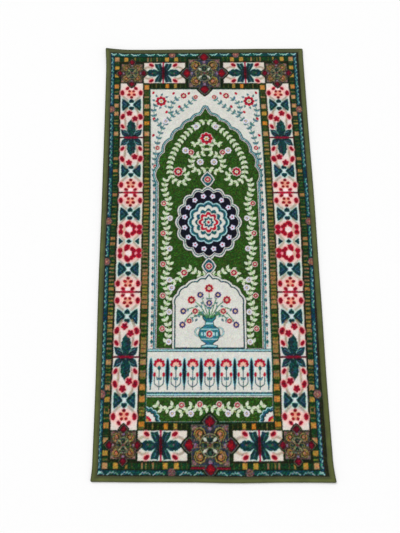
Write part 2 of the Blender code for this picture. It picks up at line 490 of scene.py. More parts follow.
def draw_ladders(ladders, way, strength):
    """Draws guards' bars, those down the sides towards the head (-1) or the foot (1)."""
    for (low, high), down_side, fuller, runs in ladders:
        for start, end, letters in runs:
            gap = (end - start - sum(2 * BARS[c][0] for c in letters)) / (len(letters) - 1)
            place = start
            for half_height, tone in (BARS[c] for c in letters):
                middle = place + half_height
                place += 2 * half_height + gap
                u, v = (low + high) / 2, MIDDLE + way * middle
                a, b = (high - low) / 2, half_height
                if not down_side:
                    u, v, a, b = middle, (low + high) / 2, b, a
                bar = block(u - a, v - b, u + a, v + b)
                dye(bar, tone, grow=fuller, feather=2.4, strength=strength)
                if half_height > LARGE_BAR:
                    dye(oval(u - 1.5, v + 1, 3.5), "#D08A34", feather=6, strength=0.4)


draw_ladders(HEAD_LADDERS, -1, strength=0.95)


def leafy(points, grow=2.4, tone=TEAL):
    """A teal leaf with a pale halo."""
    dye(outline(points), AQUA, grow=grow + 0.6, feather=3, strength=0.75)
    dye(outline(points), tone, grow=1.7, feather=1.8)


def red_bud(u, v, a, b, turn=0.0):
    """A red bud with a pink halo and a dark heart."""
    dye(oval(u, v, a, b, turn), PINK, grow=2.8, feather=4.5, strength=0.9)
    dye(oval(u, v, a, b, turn), RED, grow=0.7, feather=1.8)
    dye(oval(u, v + 1, a * 0.5, b * 0.55, turn), DARK_RED, feather=2.4, strength=0.7)


WING = (
    (26.5, -19), (28, -9), (27, 0), (28, 9), (26, 18.5), (20, 16), (13.5, 10.5), (9, 5), (4.5, 0.5),
    (8.5, -5), (13.5, -10), (19.5, -15),
)
WING_VEINS = (
    (((25, -15), (16, -5), (9, 0), (15, 6), (22, 13)), 2.4, "#0C1F26"),
    (((24, -7), (18, -3), (15, 0), (18, 3), (23, 8)), 1.8, "#41707C"),
)
CRESCENT = ((-7, -4), (-6.4, 1), (0, 7), (6.4, 1), (7, -4), (3, -5.5), (-3, -5.5))


def butterfly(v):
    """Two teal wings with notched outer edges, their pale knot between two teal crescents."""
    wings = [placed(STRIP, v, WING, side) for side in (-1, 1)]
    dye(oval(STRIP, v, 31, 23), MINT, feather=12, strength=0.55)
    for wing in wings:
        dye(outline(wing), AQUA, grow=3.8, feather=4, strength=0.75)
    for way in (-1, 1):
        crescent = outline(placed(STRIP, v + way * 12.5, CRESCENT, 1, way))
        dye(crescent, AQUA, grow=3.8, feather=4, strength=0.75)
        dye(crescent, TEAL, grow=1.2, feather=1.8)
        dye(oval(STRIP, v + way * 13, 4, 3), DEEP_TEAL, feather=3)
    for side, wing in zip((-1, 1), wings):
        dye(outline(wing), TEAL, grow=1.3, feather=1.8)
        dye(oval(STRIP + side * 22.5, v - 6, 4.5, 8), NAVY_TEAL, feather=5)
        dye(oval(STRIP + side * 20, v + 8, 4, 4), "#10493E", feather=5, strength=0.8)
        for vein in WING_VEINS:
            stroke(STRIP, v, *vein, side, feather=2.4, strength=0.7)
    dye(lozenge(STRIP, v, 4.5, 5.5, 0.3), "#DEE4E6", feather=4, strength=0.8)


def cross_line(v, bright):
    """The dark red line across the strip, brighter where flowers meet it."""
    dye(block(44, v - 2.7, 116, v + 2.7), WINE, feather=1.8)
    for dx, reach in ((-11, 9), (11, 9), (0, 22)):
        dye(oval(STRIP + dx, v, reach, 3.4), "#AC1034", feather=3, strength=bright)


def cluster(v, way):
    """A round bunch of red spots on peach, growing from a cross line at v."""
    dye(oval(STRIP, v + way * 16, 32, 20), "#F3D2CA", feather=9, strength=0.75)
    for side in (-1, 1):
        stroke(STRIP, v, ((26, 33), (21, 40), (12, 48)), 7, BEIGE, side, way, feather=5)
    for radius, tone in ((19.5, PINK), (16.5, "#F3DAC4")):
        dye(oval(STRIP, v + way * 23, radius, radius + 1), tone, feather=5, strength=0.7)
    dye(oval(STRIP, v + way * 26, 11, 11), PEACH, feather=6, strength=0.75)
    for side in (-1, 1):
        red_bud(STRIP + side * 27.5, v + way * 23.5, 5.5, 8.2)
        for dx, dy, a, b in ((8.3, 29.5, 5.4, 4.6), (6.2, 18, 4.5, 4.3)):
            dye(oval(STRIP + side * dx, v + way * dy, a, b, side * way * 12), "#92121F", feather=2)
        red_bud(STRIP + side * 12.5, v + way * 8.5, 4.2, 6.0, side * way * -50)
    dye(oval(STRIP, v + way * 38.5, 5.2, 4.4), "#7A0C1E", feather=2)
    dye(oval(STRIP, v + way * 7.5, 6.5, 5), "#FAE0E0", feather=3)


SPRIG_STALK = ((12, 94), (19, 85), (21, 72), (18, 52), (17, 34), (9, 18))
LEAF_HALF = (
    (0, 58.5), (4.5, 52), (9.5, 46), (8.8, 42.5), (12, 36.5), (10.5, 30), (12, 22), (7.5, 15), (6, 8),
)
SIDE_LEAF = (
    (3, 3), (12, 3.2), (20, 4.5), (25.5, 8), (28, 15), (30, 24.5), (22, 24), (14, 20.5), (8.5, 14),
)
SPRIG_VEINS = (
    (((9, 7), (16, 10), (24, 14)), 3.0, "#343848"),
    (((3, 5), (14, 12), (27, 21)), 2.2, "#091D24"),
    (((11, 14), (23, 20)), 1.5, "#5F8F98"),
    (((0, 39), (7, 43)), 1.4, "#0A2228"),
    (((0, 27), (9, 33)), 1.4, "#0A2228"),
    (((0, 16), (8, 21)), 1.4, "#0A2228"),
)


def sprig(v, way):
    """A serrated teal leaf with two side leaves, red flowers and buds, from a cross line at v."""
    for side in (-1, 1):
        stroke(STRIP, v, SPRIG_STALK, 6.5, BEIGE, side, way, strength=0.85)
    halves = [placed(STRIP, v, LEAF_HALF, side, way) for side in (1, -1)]
    for side in (-1, 1):
        leafy(placed(STRIP, v, SIDE_LEAF, side, way), tone="#143A40")
    leafy(halves[0] + halves[1][:0:-1], 1.6, "#123C3C")
    for side in (-1, 1):
        red_bud(STRIP + side * 26, v + way * 35.5, 4.4, 7.4, side * way * -30)
        for vein in SPRIG_VEINS:
            stroke(STRIP, v, *vein, side, way, feather=2)
    dye(oval(STRIP + 4.5, v + way * 37, 3.2, 9), "#2C2E3C", feather=4, strength=0.7)
    dye(oval(STRIP - 5.5, v + way * 34, 2.6, 9), "#195A50", feather=4, strength=0.6)
    dye(oval(STRIP, v + way * 4.5, 21, 4.5), "#121E26", feather=3.5, strength=0.9)
    red_bud(STRIP - 26, v + way * 68, 5.6, 9.0, way * -18)
    red_bud(STRIP + 26.5, v + way * 67, 6.8, 9.2, way * 16)
    for dx, dy in ((-6, 79), (10.5, 61)):
        u, down = STRIP + dx, v + way * dy
        dye(oval(u, down, 8.5), PINK, grow=2.5, feather=4.5, strength=0.85)
        dye(petals(u, down, 9.8, 5, 0.3, 20), "#940A28", feather=1.8)
        dye(oval(u + 1.5, down + 2, 3.4), "#6A0A20", feather=3, strength=0.7)


WREATH_PETALS = (
    (-2, -19, 6.6, 5.2), (-6, -14.5, 5.4, 5.2), (-7, -9.5, 3.8, 3.8), (8.5, -13, 4.6, 5.6),
    (14.5, -8.5, 5.0, 4.2), (12, 0, 3.0, 7.0), (15, 7.5, 5.0, 4.4), (9.5, 12, 5.0, 5.4),
    (-7, 10, 4.2, 4.6), (-5, 16, 6.6, 5.8), (-2.5, 21, 5.4, 4.6), (-23.5, -8, 5.4, 6.4),
    (-23.5, 8, 5.8, 6.8), (28, -7, 6.4, 6.6), (28, 7.5, 6.4, 6.6),
)


def wreath(v):
    """A ring of red petals round a white eye, open on its left."""
    for side, way in FOUR_WAYS:
        stroke(STRIP, v, ((26, 17), (20, 24), (14, 31)), 5.5, BEIGE, side, way, strength=0.7)
    dye(oval(STRIP, v, 32, 25), "#F3B9B2", feather=9, strength=0.85)
    for dx, dy, a, b in WREATH_PETALS:
        dye(oval(STRIP + dx, v + dy, a, b), PINK, grow=3, feather=4, strength=0.6)
    dye(oval(STRIP - 14.5, v, 4, 11), "#CFA893", feather=4)
    dye(oval(STRIP + 20.5, v, 4.5, 4), "#F48EA0", feather=4)
    for dx in (-24, 28):
        dye(oval(STRIP + dx, v, 4.5, 3), "#D4506C", feather=4)
    for dx, dy, a, b in WREATH_PETALS:
        dye(oval(STRIP + dx, v + dy, a, b), "#A20B29", grow=1.3, feather=1.8)
    for dx, dy, a, b in WREATH_PETALS:
        dye(oval(STRIP + dx, v + dy, a * 0.5, b * 0.5), DARK_RED, feather=3, strength=0.6)
    dye(oval(STRIP - 0.5, v, 8.4, 7.4), "#F2E0DE", feather=3)


# The long cream strip, from its middle towards the head, and how far off its middle each motif is
BUTTERFLIES, WREATH = (79, 209, 421), 34
BUNCH_LINE, LAST_BUNCH, SPRIG_LINE = 143, 484, 314
for off_middle in BUTTERFLIES:
    butterfly(MIDDLE - off_middle)
wreath(MIDDLE - WREATH)
for off_middle, way in ((BUNCH_LINE, -1), (BUNCH_LINE, 1), (LAST_BUNCH, 1)):
    cluster(MIDDLE - off_middle, way)
for way in (-1, 1):
    sprig(MIDDLE - SPRIG_LINE, way)
for way in (-1, 1):
    leafy(placed(STRIP, MIDDLE, ((27, -7.5), (27, 7.5), (17.5, 0)), way), 2)
cross_line(MIDDLE - BUNCH_LINE, 0.8)
cross_line(MIDDLE - SPRIG_LINE, 0.2)
MIDDLE_STALK = ((24, -18), (16, -8), (13, 0), (16, 8), (24, 18))
for side in (-1, 1):
    stroke(STRIP, MIDDLE, MIDDLE_STALK, 5, "#ACA68A", side, strength=0.6)
dye(lozenge(STRIP, MIDDLE, 7.5, 6, 0.4), AQUA, grow=3, feather=3, strength=0.8)
dye(lozenge(STRIP, MIDDLE, 7.5, 6.2, 0.4), DEEP_TEAL, feather=1.8)

# The cream block at the head: a wine-red line, four corner leaves and two long serrated ones
BLOCK, BLOCK_DOWN = 174.6, 82.5
BLOCK_CREAM = "#DCD4C8"
CORNER_LEAF = (
    (24, 30.5), (16.5, 29), (8.5, 31.5), (6.5, 24), (3, 17), (0.5, 1), (9, 2), (14, 7),
    (17.5, 14), (22.5, 22),
)
LONG_LEAF = (
    (2, 6), (12, 7), (19, 8), (24, 10.5), (30, 11), (33, 8.5), (37, 11), (41, 9.5), (44, 6.5),
    (48, 4.5), (53, 0),
)
BLOCK_VEINS = (
    (((5, 10), (13, 28)), 4.4, "#17202E"),
    (((10, 12), (17, 27)), 1.8, "#1B5A56"),
    (((16, 8), (22, 12.5)), 1.8, AQUA),
    (((13, 20), (17, 27)), 1.4, "#4E7482"),
    (((7, 3), (14, 20)), 1.2, "#3E5A60"),
)
dye(block(116.5, 48, 241, 117), BLOCK_CREAM, feather=2)
for side, way in FOUR_WAYS:
    stroke(BLOCK, BLOCK_DOWN, ((58, 14), (46, 20), (34, 17)), 6.5, BEIGE, side, way, feather=3.4)
    red_bud(BLOCK + side * 36, BLOCK_DOWN + way * 27, 7.4, 4.6, side * way * 30)
block_leaves = [placed(BLOCK, BLOCK_DOWN, CORNER_LEAF, side, way) for side, way in FOUR_WAYS]
for side in (-1, 1):
    halves = [placed(BLOCK, BLOCK_DOWN, LONG_LEAF, side, way) for way in (-1, 1)]
    block_leaves.append(halves[0] + halves[1][-2::-1])
for leaf in block_leaves:
    dye(outline(leaf), AQUA, grow=3.2, feather=3, strength=0.75)
for leaf in block_leaves:
    dye(outline(leaf), "#113A3C", grow=2.0, feather=1.8)
for side, way in FOUR_WAYS:
    for vein in BLOCK_VEINS:
        stroke(BLOCK, BLOCK_DOWN, *vein, side, way, feather=2.4, strength=0.7)
for side in (-1, 1):
    for dx, dy, a, b, tone in (
        (26, 0, 8, 4, "#1F5640"), (42, 0, 4, 5, "#0F2C44"), (33, 2, 2.5, 2, "#6A4A52"),
        (20, -2, 3, 2, "#3A3A4A"), (30, -6, 5, 2, "#0B2228"), (30, 6, 5, 2, "#0B2228"),
    ):
        dye(oval(BLOCK + side * dx, BLOCK_DOWN + dy, a, b), tone, feather=3, strength=0.75)
dye(oval(BLOCK, BLOCK_DOWN, 12, 21), "#12161C", feather=7, strength=0.75)
dye(block(BLOCK - 2.6, 46.5, BLOCK + 2.6, 118.5), "#9E1444", feather=1.8)
dye(block(BLOCK - 3.1, 62, BLOCK + 3.1, 103), "#3E050E", feather=3, strength=0.95)

# The foot half of the borders mirrors the head half, but for the bars of its side guards, over
# which the vine's rosettes are laid again, and its duller outer band
middle_row = round(MIDDLE / SQUARE)
foot_rows = len(cloth) - middle_row
cloth[middle_row:] = cloth[middle_row - foot_rows + 1 : middle_row + 1][::-1]
dye(block(29.2, MIDDLE + 2, 39.0, CLOTH_FOOT - 45), DARK_GREEN, feather=3)
dye(block(119.0, MIDDLE + 2, 130.5, CLOTH_FOOT - 119.5), "#1C3810", feather=3)
draw_ladders(FOOT_LADDERS, 1, strength=0.76)
for v in SIDE_ROSETTES:
    rosette(ROSETTES_IN, CLOTH_FOOT - v)
dye(block(27, CLOTH_FOOT - 25.5, PAST_CENTRE, CLOTH_FOOT - 15.5), "#0B3338", feather=3, strength=0.5)


# The field is a niche of the usual kind: a foiled arch on slender sides with flowering garlands
# in its cream corners, and in it more garlands, a medallion and a vase in a small niche of its own.
FIELD_LEFT, FIELD_HEAD, FIELD_FOOT = 137, 139, 1083
NICHE_LEFT, NICHE_FOOT = 160, 902
FIELD_CREAM, LAWN, MOSS, NIGHT = "#D9D9D1", "#2A4A16", "#3E7028", "#10111F"
FIELD_TEAL, SKY, BRIGHT_RED, YOLK = "#1C5660", "#A9D6DA", "#AE1530", "#C69A3C"
PALE_GREEN, LILAC = "#DDE6CC", "#D9D9EE"
field = block(FIELD_LEFT, FIELD_HEAD, PAST_CENTRE, FIELD_FOOT)


def foils(points, swell):
    """A line through points whose stretches swell outwards, as on a foiled arch."""
    line = []
    for (ax, ay), (bx, by) in zip(points[:-1], points[1:]):
        for share in (0, 0.2, 0.4, 0.6, 0.8):
            out = swell * 4 * share * (1 - share)
            along_x, along_y = bx - ax, by - ay
            line.append((ax + along_x * share + along_y * out, ay + along_y * share - along_x * out))
    return line + [points[-1]]


def remembered(shape):
    """The same shape, its distances worked out once over the whole cloth."""
    down, across = np.mgrid[0 : cloth.shape[0], 0 : cloth.shape[1]] * SQUARE
    table = shape[0](across, down)

    def distance(x, y):
        return table[np.rint(y / SQUARE).astype(int), np.rint(x / SQUARE).astype(int)]

    return distance, shape[1]


def inside(shape, other):
    """The part of a shape that lies inside another."""
    return lambda x, y: np.maximum(shape[0](x, y), other[0](x, y)), shape[1]


def layers(shape, *rows):
    """Lays a shape over itself, each time grown by its own amount and in its own dye."""
    for grow, tone in rows:
        dye(shape, tone, grow=grow)


def blossom(u, v, radius, tone=BRIGHT_RED, rim=CREAM):
    """A full flower: rim, eight petals, inner petals and heart."""
    dye(petals(u, v, radius, 8, 0.14), rim, grow=1.2, feather=1.6)
    dye(petals(u, v, radius, 8, 0.2), tone, feather=1.6)
    dye(petals(u, v, radius * 0.62, 8, 0.3, 22.5), DARK_RED if tone == BRIGHT_RED else NIGHT)
    dye(petals(u, v, radius * 0.42, 6, 0.3), rim)
    dye(oval(u, v, radius * 0.2), YOLK)


def spray_leaf(u, v, length, turn, tone=FIELD_TEAL, vein=SKY):
    """A pointed leaf from its stalk end, turned by degrees from pointing right."""
    c, s = math.cos(math.radians(turn)), math.sin(math.radians(turn))
    half = ((0, 0), (0.25, 0.22), (0.55, 0.27), (0.8, 0.13), (1, 0))
    edge = [(p, q) for p, q in half] + [(p, -q) for p, q in half[-2:0:-1]]
    points = [(u + length * (p * c - q * s), v + length * (p * s + q * c)) for p, q in edge]
    dye(outline(points), tone, feather=1.4)
    tip = (u + length * 0.7 * c, v + length * 0.7 * s)
    dye(stem([(u, v), tip], 1.2), vein, feather=1.4, strength=0.6)


def garland(points, pitch, length, stalk, leaf, vein):
    """A smooth stem through points with pairs of leaves."""
    line = smooth(points)
    run = np.insert(np.cumsum(np.hypot(*np.diff(line, axis=0).T)), 0, 0)
    dye(stem(points, 2.4), stalk, feather=1.6)
    for place in np.arange(pitch / 2, run[-1], pitch):
        (u, v), (next_u, next_v) = ([np.interp(d, run, q) for q in line.T] for d in (place, place + 1))
        turn = math.degrees(math.atan2(next_v - v, next_u - u))
        for swing in (-46, 46):
            spray_leaf(u, v, length, turn + swing, leaf, vein)


arch = foils(((160, 436), (164, 388), (178, 344), (202, 304), (232, 270), (262, 244), (285, 226)), 0.2)
arch += [(293, 216), (300, 202), (307, 216), (315, 226), (340, 240)]
niche = remembered(outline([*arch, (340, NICHE_FOOT), (NICHE_LEFT, NICHE_FOOT)]))

# Cream corners: a garland up each side and over the arch, which branches to flowers
dye(field, FIELD_CREAM, feather=2)
for points in (
    ((150, 446), (148, 400), (150, 356), (157, 308), (172, 264), (200, 228), (236, 200), (266, 172)),
    ((172, 264), (152, 240), (146, 212), (152, 190)),
    ((200, 228), (196, 200), (208, 176), (224, 166)),
):
    garland(points, 17, 13, "#3F7B74", FIELD_TEAL, SKY)
for turn in range(0, 360, 45):
    u, v = 168 + 16 * math.cos(math.radians(turn)), 178 + 16 * math.sin(math.radians(turn))
    spray_leaf(u, v, 12, turn + 25)
for u, v, radius in ((168, 178, 17), (236, 160, 10), (272, 164, 7), (156, 330, 7), (149, 388, 6)):
    blossom(u, v, radius)
blossom(181, 244, 8, LILAC)
for u, v in ((145, 150), (206, 152), (146, 236), (184, 214), (252, 152), (222, 196), (144, 290)):
    dye(oval(u, v, 3.8, 5, 30), BRIGHT_RED, feather=1.6)

# The niche: outlines and lawn green ground with garlands of pale leaves
layers(
    inside(niche, field),
    (10.5, FIELD_TEAL), (7.0, SKY), (5.4, NIGHT), (3.0, FIELD_CREAM), (1.2, NIGHT), (0, LAWN),
)
for points in (
    (
        (300, 240), (268, 262), (236, 292), (208, 336), (192, 384), (198, 424), (226, 440), (244, 420),
        (232, 402),
    ),
    ((300, 392), (272, 404), (254, 386), (262, 356), (288, 348), (292, 326), (276, 312), (256, 322)),
    (
        (182, 896), (192, 852), (176, 808), (192, 764), (176, 720), (192, 676), (177, 632), (188, 588),
        (176, 544), (190, 500), (176, 460), (180, 430),
    ),
    ((300, 704), (272, 704), (250, 690), (228, 698), (214, 722), (196, 728)),
):
    garland(points, 15, 14, "#8DB06E", PALE_GREEN, MOSS)
for u, v, radius, tone in (
    (300, 300, 19, BRIGHT_RED), (216, 404, 13, BRIGHT_RED), (238, 338, 9, LILAC), (280, 374, 9, LILAC),
    (254, 344, 8, BRIGHT_RED), (232, 700, 9, BRIGHT_RED), (198, 742, 8, LILAC), (271, 262, 8, LILAC),
):
    blossom(u, v, radius, tone)
for i, v in enumerate((500, 544, 588, 632, 676, 720, 764, 808, 852, 886)):
    blossom(174 + 18 * (i % 2), v, 7, LILAC if i % 2 else BRIGHT_RED)

# The medallion, ring by ring from its scalloped rim, with a pendant over and under it
HEART, BODY = 556, 88
body = petals(CENTRE, HEART, BODY, 16, 0.09, tall=1.15)
layers(body, (7, NIGHT), (5, FIELD_CREAM), (1.6, FIELD_TEAL), (-1.6, FIELD_CREAM), (-3.6, NIGHT))
RIM_FLOWERS, RIM_RADIUS = 16, 68
for i in range(RIM_FLOWERS):
    angle = math.pi * (2 * i + 1) / RIM_FLOWERS
    u, v = CENTRE + RIM_RADIUS * math.cos(angle), HEART + 1.15 * RIM_RADIUS * math.sin(angle)
    for size, tone in ((7.5, LILAC), (2.8, BRIGHT_RED)):
        dye(petals(u, v, size, 5, 0.3), tone, feather=1.5)
for radius, count, depth, tone in (
    (58, 12, 0.10, SKY),
    (55, 12, 0.10, FIELD_TEAL),
    (47, 12, 0.14, FIELD_CREAM),
    (38, 12, 0.18, FIELD_TEAL),
    (31, 8, 0.22, FIELD_CREAM),
    (28.5, 8, 0.24, BRIGHT_RED),
    (20, 8, 0.3, FIELD_CREAM),
    (15, 8, 0.3, FIELD_TEAL),
    (8, 8, 0.3, FIELD_CREAM),
    (4, 8, 0.0, BRIGHT_RED),
):
    dye(petals(CENTRE, HEART, radius, count, depth, tall=1.08), tone)
for v in (HEART - 128, HEART + 126):
    layers(lozenge(CENTRE, v, 17, 21, 0.35), (4.5, NIGHT), (2.8, FIELD_CREAM), (0, FIELD_TEAL))
    blossom(CENTRE, v, 9)

# The small niche, white with teal outlines, and the vase of flowers in it
SMALL_LEFT, SPRING = 208, 790
small_arch = foils(((SMALL_LEFT, SPRING), (218, 762), (240, 740), (268, 726), (290, 718)), 0.18)
small_arch += [(300, 706), (310, 718), (340, 728)]
small_niche = remembered(outline([*small_arch, (340, NICHE_FOOT), (SMALL_LEFT, NICHE_FOOT)]))
layers(
    inside(small_niche, niche),
    (8, NIGHT), (6.4, FIELD_CREAM), (2.4, FIELD_TEAL), (0, NIGHT), (-1.6, FIELD_CREAM),
)
BUNCH_FOOT = 826
VASE_HALF = (
    (7, 826), (17, 820), (16, 825), (9, 833), (11, 843), (25, 855), (28, 868), (21, 882), (8, 890),
    (9, 894), (21, 897), (21, 901),
)
BUNCH = (
    ("u", "v", "radius", "bend"),
    (300, 744, 12, 0), (276, 762, 9, 4), (252, 776, 11, 10), (230, 806, 9, 18), (262, 806, 8, 4),
    (228, 842, 9, 26), (246, 832, 7, 14), (300, 784, 9, 0),
)
for u, v, radius, bend in BUNCH[1:]:
    middle = ((u + CENTRE) / 2 - bend * 0.2, (v + BUNCH_FOOT) / 2 - bend)
    dye(stem([(CENTRE - 2, BUNCH_FOOT), middle, (u, v)], 2.6), "#3E7A4A", feather=1.5)
    turn = math.degrees(math.atan2(v - BUNCH_FOOT, u - CENTRE))
    for share, swing in ((0.45, 50), (0.6, -50), (0.8, 45)):
        at_u = CENTRE + (u - CENTRE) * share
        at_v = BUNCH_FOOT + (v - BUNCH_FOOT) * share - bend * 0.8 * (1 - share)
        spray_leaf(at_u, at_v, 11, turn + swing)
for u, v, radius, bend in BUNCH[1:]:
    blossom(u, v, radius, "#27367A" if radius == 9 else BRIGHT_RED, "#E9C9BC")
vase_left, vase_right = ([(CENTRE + way * dx, v) for dx, v in VASE_HALF] for way in (-1, 1))
vase = outline(vase_right + vase_left[::-1])
dye(ring(CENTRE - 27, 861, 11, 4.5), NIGHT)
dye(ring(CENTRE - 27, 861, 11, 2.4), SKY)
layers(vase, (2.0, NIGHT), (0.2, "#2A6F7C"))
for top, bottom, tone in ((836, 841, SKY), (852, 855, SKY), (878, 881, SKY), (894, 899, SKY)):
    dye(inside(block(CENTRE - 40, top, PAST_CENTRE, bottom), vase), tone, grow=-0.4)
blossom(CENTRE, 866, 9)
for dx in (-20, -12):
    dye(oval(CENTRE + dx, 866, 2.5, 5), SKY)

# The niche's slender sides, and the panel of fans and cypress leaves under it
for v in range(446, 900, 22):
    dye(inside(lozenge(146, v, 4.2, 8), field), FIELD_TEAL, feather=1.5)
    dye(oval(146, v + 11, 1.8), BRIGHT_RED)
PANEL_HEAD, PANEL_FOOT = 912, 1012
for head, foot, tone in (
    (NICHE_FOOT + 2, PANEL_FOOT + 10, NIGHT),
    (NICHE_FOOT + 4, PANEL_FOOT + 8, SKY),
    (NICHE_FOOT + 7, PANEL_FOOT + 5, FIELD_TEAL),
    (PANEL_HEAD, PANEL_FOOT, FIELD_CREAM),
):
    dye(block(FIELD_LEFT, head, PAST_CENTRE, foot), tone)
for u in range(CENTRE - 22, FIELD_LEFT, -44):
    layers(oval(u, 962, 5.5, 34), (1.8, SKY), (0, FIELD_TEAL), (-2.8, NIGHT))
    dye(block(u - 2, 994, u + 2, PANEL_FOOT - 5), FIELD_TEAL)
for u in range(CENTRE, FIELD_LEFT, -44):
    fan = petals(u, 944, 16, 10, 0.16)
    dye(stem([(u, 944), (u, PANEL_FOOT - 6)], 2.4), FIELD_TEAL)
    for side in (-1, 1):
        dye(stem([(u, 1000), (u + side * 11, 992), (u + side * 12, 976)], 2.6), FIELD_TEAL)
        dye(oval(u + side * 12, 969, 3.8, 6), BRIGHT_RED, feather=1.6)
        spray_leaf(u, 984, 12, -90 + side * 38)
    upper_half = block(u - 24, 920, u + 24, 950)
    layers(inside(fan, upper_half), (1.5, SKY), (0, BRIGHT_RED))
    dye(inside(petals(u, 946, 9, 8, 0.3), upper_half), "#E9B9A6")
    dye(lozenge(u, 953, 5, 7, 0.3), FIELD_TEAL)

# The lawn green band at the foot, with quarter fans in its corners and a garland between them
dye(block(FIELD_LEFT, PANEL_FOOT + 12, PAST_CENTRE, FIELD_FOOT), LAWN)
FOOT_WAVE = ((300, 1044), (276, 1058), (252, 1046), (228, 1062), (204, 1046), (180, 1056), (160, 1040))
garland(FOOT_WAVE, 15, 14, "#8DB06E", PALE_GREEN, MOSS)
for u, v in ((275, 1042), (228, 1044), (252, 1064), (204, 1064)):
    blossom(u, v, 7, LILAC if v > 1050 else BRIGHT_RED)
for radius, tone in (
    (36, SKY), (34, FIELD_TEAL), (27, NIGHT), (24, FIELD_CREAM), (14, BRIGHT_RED), (7, YOLK),
):
    fan = petals(FIELD_LEFT, FIELD_FOOT, radius, 16, 0.1)
    dye(inside(fan, field), tone)


def medallion(u, v, size, ground, shade, pale, halo, deep, bright):
    """A square medallion: ruby lozenges on four sides, scroll rosettes and a petalled eye."""

    def at(dx, dy):
        return u + dx * size, v + dy * size

    for grow, tone in ((halo + 4.5, "#0A1E10"), (halo, "#5E5A4A"), (halo - 1.8, ground)):
        dye(block(*at(-45, -45), *at(45, 45)), tone, grow=(grow - 1) * size)
        for dx, dy in ((53, 0), (-53, 0), (0, 55), (0, -55)):
            dye(lozenge(*at(dx, dy), 14 * size, 14 * size, 0.25), tone, grow=grow * size)
    for dx in (-1, 1):
        for dy in (-1, 1):
            for far, near in ((38, 20), (20, 38)):
                dye(oval(*at(dx * far, dy * near), 8 * size), shade, feather=6 * size, strength=0.7)
            corner = block(*at(dx * 40 - 5, dy * 40 - 5), *at(dx * 40 + 5, dy * 40 + 5))
            dye(corner, "#86645F", feather=3.5)
            for radius, count, depth, tone in (
                (17.0, 8, 0.08, "#2E2A1C"), (15.6, 8, 0.12, "#8C7C48"), (12.8, 8, 0.10, "#35271A"),
            ):
                dye(petals(*at(dx * 26, dy * 26.5), radius * size, count, depth), tone, feather=1.6)
            scroll = []
            for k in range(9):
                angle, far = math.radians(200 + 50 * k), 12 - 1.05 * k
                around = far * math.cos(angle), far * math.sin(angle)
                scroll.append(at(dx * (26 + around[0]), dy * (26.5 + around[1])))
            dye(stem(scroll, 3.0 * size), "#9C7238")
            dye(oval(*at(dx * 26, dy * 26.5), 3.8 * size), "#B47C64", feather=2)
    for radius, tone in ((29.5, "#20241A"), (28, "#73765A"), (25.6, "#262C20")):
        dye(oval(*at(0, 0), radius * size * 0.96, radius * size), tone)
    for dx, dy, a, b, rim in (
        (0, 15.5, 8.5, 9, "#5A6A58"), (0, -15.5, 8.5, 9, "#5A6A58"),
        (16, 0, 9.5, 6, "#6C6C3C"), (-16, 0, 9.5, 6, "#6C6C3C"),
    ):
        petal = oval(*at(dx, dy), a * size, b * size)
        dye(petal, rim, grow=1.5 * size)
        dye(petal, "#14261E")
        dye(oval(*at(dx * 1.15, dy * 1.15), 3.6 * size), "#2E4A42", feather=3, strength=0.8)
    for dx in (-1, 1):
        for dy in (-1, 1):
            dye(stem([at(4 * dx, 4 * dy), at(14 * dx, 14 * dy)], 1.8 * size), "#8A8C76")
            dye(oval(*at(13 * dx, 13.5 * dy), 6.0 * size, 3.3 * size, 45 * dx * dy), pale)
    dye(oval(*at(0, 0), 4.6 * size), "#5E3230", feather=2)
    for dx, dy in ((1, 0), (-1, 0), (0, 1), (0, -1)):
        dye(oval(*at(39 * dx, 39 * dy), 4.4 * size), "#857088", feather=3)
        slim = 1.4 * abs(dx)
        gem = lozenge(*at(53 * dx, 55 * dy), (13 - slim) * size, (13 + slim) * size, 0.35)
        dye(gem, "#2E0812", grow=0.8, feather=1.6)
        dye(gem, deep, grow=-size, feather=3.5 * size)
        dye(oval(*at(53 * dx, 55 * dy), 4.6 * size), bright, feather=5 * size, strength=0.8)

    # Odd tufts of its other dyes, which give it the look of a mosaic
    for _ in range(MOSAIC):
        dx, dy = chance.uniform(-44, 44, 2)
        tuft = oval(*at(dx, dy), chance.uniform(1.3, 2.4) * size, chance.uniform(1.3, 2.4) * size)
        dye(tuft, MOSAIC_TONES[chance.integers(len(MOSAIC_TONES))], feather=2, strength=0.5)


MOSAIC = 150
MOSAIC_TONES = ("#15201A", "#7A5A30", "#8C8A68", "#20303A", "#A0806A", "#3C1A1E", "#5E6A3A")
MEDALLION_OFF = 527.5
chance = np.random.default_rng(3)
for way in (-1, 1):
    v = MIDDLE + way * MEDALLION_OFF
    medallion(CENTRE, v, 1.0, "#2E333E", "#26384C", "#C0C2B2", 4.0, "#6E0A1A", "#94101C")
    medallion(STRIP, v, 0.68, "#40382A", "#4A3038", "#8C8A62", 2.6, "#560A1C", "#7E0C20")

# Two wine-red bars beside the foot medallion's lower lozenge
dye(block(CENTRE - 50, 1189, CENTRE - 15, 1193), "#780A28", feather=2.4)


# ---------------------------------------------------------------------------------------------
# Pile: short cut polyamide yarn in rows 2.7 mm apart, standing about 5 mm over the backing and
# pressed down under the tape. It is modelled in panels that meet without a gap.
PILE_FOOT = 1.7 * MM
TUFT = 2.7 * MM
PILE_EDGE = 13.0 * MM
TUCKED_EDGE = 5.0 * MM
PILE_SECTION = (
    ("in from the edge", "height"),
    (0.0, 4.4 * MM),
    (15.4 * MM, 4.5 * MM),
    (16.8 * MM, 5.7 * MM),
    (18.6 * MM, 6.7 * MM),
    (21.5 * MM, 7.0 * MM),
)

# How deep it dips between two tufts and among four, how much the heights of tufts and of tips
# vary, how far a tip leans, and over what width the tape's edge holds the pile down
BETWEEN_TUFTS, AMONG_TUFTS = 0.3 * MM, 0.62 * MM
TUFT_RISE, TIP_RISE, TIP_LEAN = 0.16 * MM, 0.12 * MM, 0.16 * MM
PRESSED_OVER = 4 * MM

